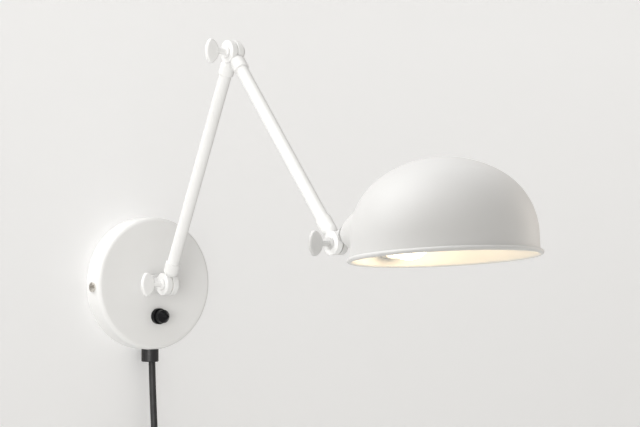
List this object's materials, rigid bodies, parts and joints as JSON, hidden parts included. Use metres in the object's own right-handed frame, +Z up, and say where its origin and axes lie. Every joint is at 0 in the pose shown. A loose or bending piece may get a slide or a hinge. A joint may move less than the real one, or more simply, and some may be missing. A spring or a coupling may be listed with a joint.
{
  "type": "swing arm wall sconce",
  "caption": "Wall lamp on a round canopy: hinged arms with wing screws carry a dome shade on a bell socket cup; turn switch on the canopy and a corded plug.",
  "frame": {"origin": "centre of the canopy's back, on the wall", "axes": "+Y into the wall, -Y out into the room, +Z up, +X to the right seen from the room"},
  "size_m": [0.1538, 0.5109, 0.5479],
  "materials": {
    "white_paint": "satin white powder coat on steel",
    "zinc_steel": "bright zinc plate",
    "nickel": "bright nickel plate",
    "brass": "bare brass",
    "bulb_cap": "bare aluminium cap",
    "black_plastic": "satin black moulded plastic",
    "cord_sheath": "black round flexible sheath",
    "lead_sheath": "grey inner sheath",
    "clear_nylon": "natural nylon",
    "holder_plastic": "white moulded resin",
    "bulb_glass": "frosted warm glass, lit"
  },
  "bodies": {
    "wall_mount": {"canopy_cover": "white_paint", "wall_bracket": "zinc_steel", "canopy_screws": "nickel", "terminal_block": "clear_nylon", "terminal_screws": "nickel", "switch_body": "black_plastic", "switch_ring_nut": "black_plastic", "cord_grip": "black_plastic", "cord_grip_nut": "zinc_steel", "canopy_lead": "lead_sheath", "mains_cord": "cord_sheath", "cord_coil": "cord_sheath", "cord_tie": "black_plastic", "cord_tail": "cord_sheath", "plug_relief": "black_plastic", "plug_body": "black_plastic", "plug_pins": "nickel"},
    "switch_dial": {"switch_shaft": "brass", "switch_knob": "black_plastic"},
    "swivel_post": {"base_post": "white_paint", "post_washer": "zinc_steel", "post_nut": "zinc_steel", "base_friction_washer": "clear_nylon"},
    "lower_arm": {"lower_arm_base_knuckle": "white_paint", "lower_arm_tube": "white_paint", "lower_arm_elbow_knuckle": "white_paint", "lower_arm_lead": "lead_sheath", "base_cap_nut": "white_paint", "elbow_friction_washer": "clear_nylon"},
    "upper_arm": {"upper_arm_elbow_knuckle": "white_paint", "upper_arm_tube": "white_paint", "upper_arm_head_knuckle": "white_paint", "upper_arm_lead": "lead_sheath", "elbow_cap_nut": "white_paint", "head_friction_washer": "clear_nylon"},
    "head": {"head_knuckle": "white_paint", "head_cap_nut": "white_paint", "neck_nut": "zinc_steel", "socket_cup": "white_paint", "shade": "white_paint", "lamp_holder": "holder_plastic", "lamp_holder_ring": "holder_plastic", "holder_screw_shell": "brass", "holder_contact": "brass", "holder_lead": "lead_sheath", "bulb_base": "bulb_cap", "bulb_glass": "bulb_glass"},
    "base_thumb_screw": {"base_wing_screw": "white_paint"},
    "elbow_thumb_screw": {"elbow_wing_screw": "white_paint"},
    "head_thumb_screw": {"head_wing_screw": "white_paint"}
  },
  "joints": [
    {"name": "base_swivel", "type": "hinge", "parent": "wall_mount", "child": "swivel_post", "pos_m": [0, -0.0205, 0], "axis": [0, 1, 0], "range_deg": [-40, 90]},
    {"name": "base_pivot", "type": "hinge", "parent": "swivel_post", "child": "lower_arm", "pos_m": [0, -0.0405, 0], "axis": [1, 0, 0], "range_deg": [-25, 65]},
    {"name": "elbow_pivot", "type": "hinge", "parent": "lower_arm", "child": "upper_arm", "pos_m": [0, -0.14259, 0.20387], "axis": [1, 0, 0], "range_deg": [-111, 6]},
    {"name": "head_tilt", "type": "hinge", "parent": "upper_arm", "child": "head", "pos_m": [0, -0.29296, 0.03919], "axis": [1, 0, 0], "range_deg": [-40, 45]},
    {"name": "base_thumb_turn", "type": "hinge", "parent": "lower_arm", "child": "base_thumb_screw", "pos_m": [0, -0.0405, 0], "axis": [1, 0, 0], "range_deg": [-180, 0]},
    {"name": "elbow_thumb_turn", "type": "hinge", "parent": "upper_arm", "child": "elbow_thumb_screw", "pos_m": [0, -0.14259, 0.20387], "axis": [1, 0, 0], "range_deg": [-180, 0]},
    {"name": "head_thumb_turn", "type": "hinge", "parent": "head", "child": "head_thumb_screw", "pos_m": [0, -0.29296, 0.03919], "axis": [1, 0, 0], "range_deg": [-180, 0]},
    {"name": "switch_turn", "type": "hinge", "parent": "wall_mount", "child": "switch_dial", "pos_m": [0.0026, -0.0247, -0.0295], "axis": [0, 1, 0], "continuous": true}
  ]
}
